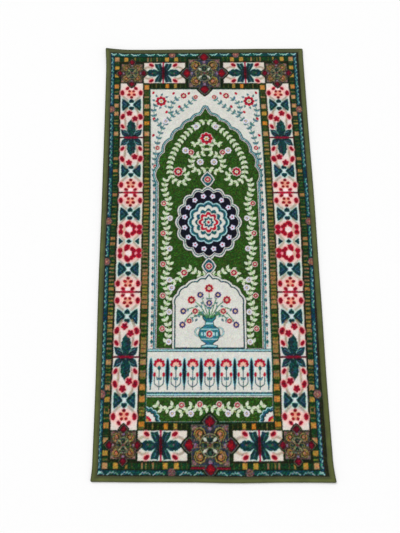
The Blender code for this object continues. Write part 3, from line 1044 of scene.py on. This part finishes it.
columns_across = round((WIDTH - 2 * PILE_EDGE) / TUFT) * 2
rows_down = round((LENGTH - 2 * PILE_EDGE) / TUFT) * 2
row, column = np.mgrid[0 : rows_down + 1, 0 : columns_across + 1]
grid_x = (column / columns_across - 0.5) * (WIDTH - 2 * PILE_EDGE)
grid_y = (0.5 - row / rows_down) * (LENGTH - 2 * PILE_EDGE)

# Each tuft has its own height and its own painted shade, and its tip leans its own way
chance = np.random.default_rng(7)
tufts = chance.normal(0, 1, (2, rows_down // 2 + 1, columns_across // 2 + 1))
tuft_rise, tuft_shade = tufts[:, row // 2, column // 2]
lean_x, lean_y = chance.normal(0, TIP_LEAN, (2, *row.shape))
odd_lines = row % 2 + column % 2
sunk = np.choose(odd_lines, (0, BETWEEN_TUFTS, AMONG_TUFTS))
uneven = sunk + TUFT_RISE * tuft_rise + chance.uniform(-TIP_RISE, TIP_RISE, row.shape)
inward = np.minimum(WIDTH / 2 - abs(grid_x), LENGTH / 2 - abs(grid_y))
places_in, heights = zip(*PILE_SECTION[1:])
free = np.clip((inward - TAPE_REACH) / PRESSED_OVER, 0.1, 1)
pile_z = np.interp(inward, places_in, heights) - uneven * free

# The dye at each point is read from the cloth, a little off its place as the yarn spreads. The
# pattern wanders from its place over the rug's length, and is a hundredth narrower at the ends.
YARN_SPREAD = 0.35
PATTERN_WANDER = (
    ("from the head edge", "to the right", "to the foot", "width"),
    (0, -2.6, 1.8, 0.988),
    (150, -2.5, 2.9, 0.989),
    (330, 0.4, 2.2, 0.992),
    (500, 1.7, 2.2, 0.994),
    (600, 1.0, 2.1, 0.999),
    (700, 0.0, 2.0, 0.995),
    (780, -1.1, 0.6, 0.990),
    (940, -3.1, 1.9, 0.991),
    (1060, -5.7, 3.6, 0.987),
    (1230, -5.4, 6.0, 0.987),
)
steps_down, *wander_columns = zip(*PATTERN_WANDER[1:])
off = chance.normal(0, YARN_SPREAD, (2, *row.shape))
down = (LENGTH / 2 - grid_y) / MM
to_right, to_foot, width_share = (np.interp(down, steps_down, values) for values in wander_columns)
across = CENTRE + (grid_x / MM - to_right) / width_share + off[0]
down = down - to_foot + off[1]
across = np.minimum(across, 2 * CENTRE - across)
across = np.clip(across / SQUARE, 0, cloth.shape[1] - 1.01)
down = np.clip(down / SQUARE, 0, cloth.shape[0] - 1.01)
left, upper = across.astype(int), down.astype(int)
right_share, lower_share = (across - left)[..., None], (down - upper)[..., None]
above, below = (
    cloth[squares, left] * (1 - right_share) + cloth[squares, left + 1] * right_share
    for squares in (upper, upper + 1)
)
yarn = above * (1 - lower_share)
yarn += below * lower_share

# Points and whole tufts take the dye unevenly, and each tuft also gets a painted shade for the
# shadows among tufts; both show more in dark dyes than in pale ones, where light lifts the shadows
POINT_TINT, TUFT_TINT, TUFT_SHADE, EVENED_BY = 0.16, 0.28, 0.3, 0.06
DARKEST, PALEST = 0.002, 0.95
# Painted shade among tufts rides on this speckle together with the dye's own unevenness
shade_and_dye_speckle = np.interp(yarn.mean(-1), (0.03, 0.1, 0.5), (1.0, 0.7, 0.12))[..., None]
tints = chance.normal(0, POINT_TINT, yarn.shape) + TUFT_SHADE * tuft_shade[..., None]
tuft_tints = chance.normal(0, TUFT_TINT, (rows_down // 2 + 1, columns_across // 2 + 1, 3))
tints += tuft_tints[row // 2, column // 2]
yarn = np.clip(yarn * np.exp(shade_and_dye_speckle * tints - EVENED_BY * shade_and_dye_speckle**2), DARKEST, PALEST)

# Dyed polyamide cut pile: matt, grained by its fibre tips and drifting a little in shade
pile_finish, shader, here = new_material("cut polyamide pile", 0.95)
FIBRE_GRAIN, SHADE_DRIFT = 1.8 * MM, 14 * MM
dyed = node(pile_finish, "Attribute", {"attribute_name": "dye"})
fibre = node(pile_finish, "TexNoise", None, {"Vector": here, "Scale": 1 / FIBRE_GRAIN, "Detail": 3.0})
drift = node(pile_finish, "TexNoise", None, {"Vector": here, "Scale": 1 / SHADE_DRIFT, "Detail": 3.0})
shades = []
for noise, low, high in ((fibre, 0.86, 1.14), (drift, 0.94, 1.06)):
    reach = {"From Min": 0.3, "From Max": 0.7, "To Min": low, "To Max": high}
    shade = node(pile_finish, "MapRange", None, {"Value": noise.outputs["Fac"], **reach})
    shades.append(shade.outputs[0])
both = node(pile_finish, "Math", {"operation": "MULTIPLY"}, {0: shades[0], 1: shades[1]})
shaded = {0: dyed.outputs["Color"], "Scale": both.outputs[0]}
tinted = node(pile_finish, "VectorMath", {"operation": "SCALE"}, shaded)
fibres = {"Strength": 0.7, "Distance": 0.5 * MM, "Height": fibre.outputs["Fac"]}
bump = node(pile_finish, "Bump", None, fibres)
feed(shader, {"Base Color": tinted.outputs[0], "Normal": bump.outputs["Normal"]})
feed(shader, {"Sheen Weight": 0.05, "Sheen Roughness": 0.5, "Specular IOR Level": 0.12})

SIDE_PANEL, END_PANEL = 114 * MM, 118 * MM
MAP_SHARE, MAP_MARGIN, WALL_SHARE = 0.96, 0.03, 0.02
step_x, step_y = (WIDTH - 2 * PILE_EDGE) / columns_across, (LENGTH - 2 * PILE_EDGE) / rows_down
SIDE_COLUMNS = round((SIDE_PANEL - PILE_EDGE) / step_x)
END_ROWS = round((END_PANEL - PILE_EDGE) / step_y)
last_side = columns_across - SIDE_COLUMNS
third = (rows_down - 2 * END_ROWS) // 3
PANELS = (
    ("name", "first row", "last row", "first column", "last column"),
    ("pile_left_border", 0, rows_down, 0, SIDE_COLUMNS),
    ("pile_right_border", 0, rows_down, last_side, columns_across),
    ("pile_head_border", 0, END_ROWS, SIDE_COLUMNS, last_side),
    ("pile_foot_border", rows_down - END_ROWS, rows_down, SIDE_COLUMNS, last_side),
    ("pile_field_head", END_ROWS, END_ROWS + third, SIDE_COLUMNS, last_side),
    ("pile_field_middle", END_ROWS + third, END_ROWS + 2 * third, SIDE_COLUMNS, last_side),
    ("pile_field_foot", END_ROWS + 2 * third, rows_down - END_ROWS, SIDE_COLUMNS, last_side),
)
for name, first_row, last_row, first_column, last_column in PANELS[1:]:
    wide, tall = last_column - first_column, last_row - first_row
    bpy.ops.object.select_all(action="DESELECT")
    bpy.ops.mesh.primitive_grid_add(x_subdivisions=wide, y_subdivisions=tall, size=1)
    panel = bpy.context.object
    panel.name = name
    bpy.ops.object.mode_set(mode="EDIT")
    bpy.ops.mesh.select_mode(type="EDGE")
    bpy.ops.mesh.select_all(action="DESELECT")
    bpy.ops.mesh.select_non_manifold()
    bpy.ops.mesh.extrude_region_move(TRANSFORM_OT_translate={"value": (0, 0, -1)})
    bpy.ops.mesh.edge_face_add()
    bpy.ops.mesh.select_all(action="SELECT")
    bpy.ops.mesh.normals_make_consistent(inside=False)
    bpy.ops.object.mode_set(mode="OBJECT")
    mesh = panel.data
    unit_x, unit_y, unit_z = places_of(mesh).T
    i = np.rint((0.5 - unit_y) * tall).astype(int) + first_row
    j = np.rint((unit_x + 0.5) * wide).astype(int) + first_column
    top = unit_z > -0.5
    x, y = grid_x[i, j] + top * lean_x[i, j], grid_y[i, j] + top * lean_y[i, j]
    for place, line, lines, reach in ((x, j, columns_across, WIDTH), (y, i, rows_down, LENGTH)):
        outer = (line == 0) | (line == lines)
        place[outer] = np.sign(place[outer]) * (reach / 2 - TUCKED_EDGE)
    lay_out(mesh, x, y, np.where(top, pile_z[i, j], PILE_FOOT))
    dyes = mesh.color_attributes.new("dye", "FLOAT_COLOR", "POINT")
    dyes.data.foreach_set("color", np.insert(yarn[i, j], 3, 1, axis=1).astype(np.float32).ravel())

    # Its flat map for baking: the top fills the map, and the walls and foot lie in a thin strip
    corners = np.empty(len(mesh.loops), int)
    mesh.loops.foreach_get("vertex_index", corners)
    spread = np.stack([(j - first_column) / wide, 1 - (i - first_row) / tall], -1)
    spread = spread * MAP_SHARE + MAP_MARGIN
    spread[~top] *= WALL_SHARE
    bake_map = mesh.uv_layers.new(name="OFBake")
    bake_map.data.foreach_set("uv", spread[corners].astype(np.float32).ravel())

    # Smooth on top, with a sharp rim so that neighbouring panels meet without a dark line
    mesh.shade_smooth()
    ends = np.empty(len(mesh.edges) * 2, int)
    mesh.edges.foreach_get("vertices", ends)
    ends = ends.reshape(-1, 2)
    on_rim = (i == first_row) | (i == last_row) | (j == first_column) | (j == last_column)
    sharp = mesh.attributes.new("sharp_edge", "BOOLEAN", "EDGE")
    sharp.data.foreach_set("value", on_rim[ends].all(1))
    mesh.materials.append(pile_finish)
    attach(panel, "root")


# ---------------------------------------------------------------------------------------------
# Binding tape: olive woven polyester, 35 mm wide, folded over the edge all round so that 15 mm
# lies on the face and 14 mm on the back, with its corners mitred, and sewn through.
TAPE_THICKNESS = 0.7 * MM
TAPE_TOP = 5.78 * MM
TAPE_CORNER = 4.5 * MM
TAPE_STEP = 4.0 * MM
SEAM_IN = 12.4 * MM
SEAM_SINKS = 0.25 * MM
CORNER_STATIONS = 6
SIDEWAYS = 0.7
SAME_PLACE = 0.02 * MM

# How much it puckers and its edge wanders, every few stations, and how far in from the fold and
# from a corner it is too stiff for that
PUCKER_EVERY = 3
PUCKER, EDGE_WANDER = 0.07 * MM, 0.2 * MM
FOLD_STIFF, LOOSENS_OVER, CORNER_STIFF = 4 * MM, 8 * MM, 20 * MM

# Its section, from the cut edge on the face round the fold to the cut edge on the back
fold = TAPE_TOP / 2
tape_line = [(d * MM, TAPE_TOP) for d in (15, 13.4, 12.4, 11.4, 9, 7, 5, 3.9)]
tape_line += [(fold - fold * math.sin(a), fold + fold * math.cos(a)) for a in np.linspace(0, math.pi, 9)]
tape_line += [(d * MM, 0.0) for d in (4.5, 7, 10, 12.4, 14)]
tape_line = np.array(tape_line)

# Stations once round the straight rug's edge, anticlockwise, each with its way inwards
half_x, half_y = WIDTH / 2, LENGTH / 2
stations = []
for turn, (side_x, side_y) in enumerate(((1, 1), (-1, 1), (-1, -1), (1, -1))):
    quarter = turn * math.pi / 2
    out_x, out_y = round(math.cos(quarter)), round(math.sin(quarter))
    run = 2 * (abs(out_x) * half_y + abs(out_y) * half_x - TAPE_CORNER)
    for place in np.linspace(-run / 2, run / 2, round(run / TAPE_STEP), endpoint=False):
        stations.append((out_x * half_x - out_y * place, out_y * half_y + out_x * place, -out_x, -out_y))
    for angle in quarter + np.linspace(0, math.pi / 2, CORNER_STATIONS, endpoint=False):
        c, s = math.cos(angle), math.sin(angle)
        x, y = side_x * (half_x - TAPE_CORNER), side_y * (half_y - TAPE_CORNER)
        stations.append((x + TAPE_CORNER * c, y + TAPE_CORNER * s, -c, -s))
stations = np.array(stations)


def on_tape(s, deep):
    """Points at stations, a distance in from the rug's edge, kept to the corners' mitres."""
    x, y, in_x, in_y = stations[s % len(stations)].T
    x = np.clip(x + in_x * deep, deep - half_x, half_x - deep)
    y = np.clip(y + in_y * deep, deep - half_y, half_y - deep)
    return x, y


bpy.ops.object.select_all(action="DESELECT")
bpy.ops.mesh.primitive_grid_add(
    x_subdivisions=len(stations), y_subdivisions=len(tape_line) - 1, size=1
)
tape = bpy.context.object
tape.name = "edge_tape"
unit_x, unit_y, _ = places_of(tape.data).T
s = np.rint((unit_x + 0.5) * len(stations)).astype(int) % len(stations)
line = np.rint((0.5 - unit_y) * (len(tape_line) - 1)).astype(int)
deep, high = tape_line[line].T
on_face = high > fold

# Its sewn line is drawn down, and between stitches its edge puckers and wanders a little
chance = np.random.default_rng(11)
waves = chance.normal(0, 1, (2, len(stations) // PUCKER_EVERY + 1))
steps = np.arange(len(stations)) / PUCKER_EVERY
pucker, wander = (np.interp(steps, np.arange(len(wave)), wave) for wave in waves)
from_corner = np.hypot(half_x - abs(stations[s, 0]), half_y - abs(stations[s, 1]))
flat_part = np.clip((deep - FOLD_STIFF) / LOOSENS_OVER, 0, 1)
flat_part = flat_part * np.clip(from_corner / CORNER_STIFF - 1, 0, 1)
sewn_in = SEAM_SINKS * np.exp(-(((deep - SEAM_IN) / MM) ** 2))
x, y = on_tape(s, deep + EDGE_WANDER * wander[s] * flat_part)
high = high + np.where(on_face, PUCKER * pucker[s] * flat_part - sewn_in, sewn_in)
lay_out(tape.data, x, y, high)

# Painted shade on the tape, as shares of its full colour at some distances in from its fold: darker
# round the fold, where it turns from the light, along its cut edge, which the pile shades, and at both
# ends
PAINTED_TAPE_SHADE = (
    ("in, mm", 0.8, 4.5, 8.0, 10.0, 12.0, 13.5, 15.0),
    ("head", 0.26, 0.53, 0.57, 0.52, 0.42, 0.34, 0.24),
    ("foot", 0.50, 0.90, 0.86, 0.52, 0.38, 0.32, 0.26),
    ("right", 0.32, 0.80, 0.82, 0.78, 0.60, 0.46, 0.36),
    ("left", 0.36, 0.90, 0.88, 0.62, 0.48, 0.42, 0.36),
)
# Painted shade: a share of the tape's full colour at each of its points
painted_shade_share = np.select(
    [stations[s, 3] < -SIDEWAYS, stations[s, 3] > SIDEWAYS, stations[s, 2] < 0, True],
    [np.interp(deep / MM, PAINTED_TAPE_SHADE[0][1:], side[1:]) for side in PAINTED_TAPE_SHADE[1:]],
)
tape.data.attributes.new("painted_shade_share", "FLOAT", "POINT").data.foreach_set("value", painted_shade_share)
bpy.ops.object.mode_set(mode="EDIT")
bpy.ops.mesh.select_all(action="SELECT")
bpy.ops.mesh.remove_doubles(threshold=SAME_PLACE)
bpy.ops.object.mode_set(mode="OBJECT")
bpy.ops.object.modifier_add(type="SOLIDIFY")
tape.modifiers[-1].thickness = TAPE_THICKNESS
tape.modifiers[-1].offset = -1
bpy.ops.object.modifier_apply(modifier=tape.modifiers[-1].name)
bpy.ops.object.shade_smooth_by_angle(angle=math.radians(50))

# Woven polyester tape: fine ribs across it, drawn 1.6 mm apart so that they show, and painted shade
# round the fold, along its cut edge beside the pile and at the two ends, from the shares above
tape_finish, shader, here = new_material("woven polyester tape", 0.8)
RIB_PITCH, WEAR_GRAIN = 1.6 * MM, 25 * MM
RIB_WAVER = {"Distortion": 1.5, "Detail Scale": 3.0}
ribs = weave_of(tape_finish, here, RIB_PITCH, "MULTIPLY", RIB_WAVER)
worn = node(tape_finish, "TexNoise", None, {"Vector": here, "Scale": 1 / WEAR_GRAIN, "Detail": 4.0})
uneven = {0: ribs, 1: 0.35, 2: worn.outputs["Fac"]}
share = node(tape_finish, "Math", {"operation": "MULTIPLY_ADD"}, uneven)
olives = {0: share.outputs[0], 6: (*colour("#3E4517"), 1), 7: (*colour("#667030"), 1)}
olive = node(tape_finish, "Mix", {"data_type": "RGBA"}, olives)
# Painted shade: the tape's colour is scaled by the shares worked out above
painted_shade_share = node(tape_finish, "Attribute", {"attribute_name": "painted_shade_share"})
painted_shade_links = {0: olive.outputs[2], "Scale": painted_shade_share.outputs["Fac"]}
shaded = node(tape_finish, "VectorMath", {"operation": "SCALE"}, painted_shade_links)
bump = node(tape_finish, "Bump", None, {"Strength": 0.5, "Distance": 0.25 * MM, "Height": ribs})
feed(shader, {"Base Color": shaded.outputs[0], "Normal": bump.outputs["Normal"], "Sheen Weight": 0.1})
tape.data.materials.append(tape_finish)
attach(tape, "root")
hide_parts("edge_binding")


# ---------------------------------------------------------------------------------------------
# Sewing: one lockstitched line of olive polyester thread round the tape on both sides, stitches
# 3.2 mm long sunk in the tape. Each is a short bent thread whose ends dip into the weave.
STITCH_PITCH = 4.0 * MM
STITCH_LENGTH = 3.2 * MM
THREAD = 0.45 * MM
THREAD_SIDES = 5
TWIST_PITCH = 0.5 * MM
STITCH_SKEW, STITCH_SHIFT = 0.06, 0.12 * MM
STITCH_BEND = ((-0.5, -1.0), (-0.25, 0.45), (0.25, 0.45), (0.5, -1.0))

corners_in = ((1, -1), (1, 1), (-1, 1), (-1, -1), (1, -1))
seam = [(a * (half_x - SEAM_IN), b * (half_y - SEAM_IN)) for a, b in corners_in]
middles, ways = [], []
for (ax, ay), (bx, by) in zip(seam[:-1], seam[1:]):
    length = math.hypot(bx - ax, by - ay)
    count = round(length / STITCH_PITCH)
    for k in range(count):
        share = (k + 0.5) / count
        middles.append((ax + (bx - ax) * share, ay + (by - ay) * share))
        ways.append(((bx - ax) / length, (by - ay) / length))
middles, ways = np.array(middles), np.array(ways)

bpy.ops.object.select_all(action="DESELECT")
bpy.ops.mesh.primitive_circle_add(
    vertices=THREAD_SIDES,
    radius=THREAD / 2,
    fill_type="NGON",
    location=(STITCH_BEND[0][0] * STITCH_LENGTH, 0, STITCH_BEND[0][1] * THREAD),
    rotation=(0, math.pi / 2, 0),
)
stitch = bpy.context.object
bpy.ops.object.transform_apply(location=True, rotation=True, scale=False)
bpy.ops.object.mode_set(mode="EDIT")
bpy.ops.mesh.select_all(action="SELECT")
for (ax, az), (bx, bz) in zip(STITCH_BEND[:-1], STITCH_BEND[1:]):
    step = ((bx - ax) * STITCH_LENGTH, 0, (bz - az) * THREAD)
    bpy.ops.mesh.extrude_region_move(TRANSFORM_OT_translate={"value": step})
bpy.ops.mesh.select_all(action="SELECT")
bpy.ops.mesh.normals_make_consistent(inside=False)
bpy.ops.object.mode_set(mode="OBJECT")
one = places_of(stitch.data)
faces = [tuple(face.vertices) for face in stitch.data.polygons]
bpy.data.objects.remove(stitch)

# The same stitch all along the seam, on the face and, turned over, on the back
chance = np.random.default_rng(5)
all_places, all_faces = [], []
for face_up, level in ((1, TAPE_TOP - SEAM_SINKS), (-1, 2 * SEAM_SINKS)):
    for (u, v), (way_x, way_y) in zip(middles, ways):
        skew = chance.normal(0, STITCH_SKEW)
        shift = chance.normal(0, STITCH_SHIFT)
        c, s = way_x - way_y * skew, way_y + way_x * skew
        lx, ly, lz = one[:, 0], one[:, 1] * face_up + shift, one[:, 2] * face_up
        start = len(all_places) * len(one)
        all_places.append((u + c * lx - s * ly, v + s * lx + c * ly, level + lz))
        all_faces += [tuple(start + k for k in face) for face in faces]
x, y, z = np.concatenate(all_places, axis=1)
sewing_mesh = bpy.data.meshes.new("tape_stitches")
sewing_mesh.from_pydata(np.stack([x, y, z], -1), [], all_faces)
lay_out(sewing_mesh, x, y, z)
sewing_mesh.shade_smooth()
stitches = bpy.data.objects.new("tape_stitches", sewing_mesh)
bpy.context.scene.collection.objects.link(stitches)

# Spun polyester thread: olive, slightly glossier than the tape, with its twist as slanted lines
thread_finish, shader, here = new_material("spun polyester thread", 0.55)
slanted = {"wave_type": "BANDS", "bands_direction": "DIAGONAL"}
plies = {"Vector": here, "Scale": 1 / (WAVE_UNIT * TWIST_PITCH)}
twist = node(thread_finish, "TexWave", slanted, plies)
olives = {0: twist.outputs["Fac"], 6: (*colour("#4A5228"), 1), 7: (*colour("#858B56"), 1)}
thread_colour = node(thread_finish, "Mix", {"data_type": "RGBA"}, olives)
feed(shader, {"Base Color": thread_colour.outputs[2]})
sewing_mesh.materials.append(thread_finish)
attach(stitches, "root")


# ---------------------------------------------------------------------------------------------
# Floor and light: a plain white floor, soft light from all round and one wide even lamp from the
# head end's left, so that the pile and the curled corner show.
FLOOR_SIZE, FLOOR_GAP = 100.0, 0.3 * MM
SKY_LIGHT = 0.62
LAMP_POWER, LAMP_SPREAD = 1.55, 25
LAMP_PLACE, LAMP_TILTS = (-0.9, 0.9, 1.8), (-32, -28, 0)
bpy.ops.object.select_all(action="DESELECT")
bpy.ops.mesh.primitive_plane_add(size=FLOOR_SIZE, location=(0, 0, -FLOOR_GAP))
floor = bpy.context.object
floor.name = "floor"
bpy.ops.object.transform_apply(location=True, rotation=False, scale=False)
floor_finish, shader, here = new_material("matt white floor", 0.9)
feed(shader, {"Base Color": (*colour("#FFFFFF"), 1)})
floor.data.materials.append(floor_finish)

world = bpy.data.worlds.new("studio")
world.use_nodes = True
feed(world.node_tree.nodes["Background"], {"Color": (1, 1, 1, 1), "Strength": SKY_LIGHT})
bpy.context.scene.world = world

lamp_data = bpy.data.lights.new("softbox", "SUN")
lamp_data.angle = math.radians(LAMP_SPREAD)
lamp_data.energy = LAMP_POWER
lamp = bpy.data.objects.new("softbox", lamp_data)
lamp.location = LAMP_PLACE
lamp.rotation_euler = [math.radians(tilt) for tilt in LAMP_TILTS]
bpy.context.scene.collection.objects.link(lamp)
bpy.context.scene.view_settings.view_transform = "Standard"
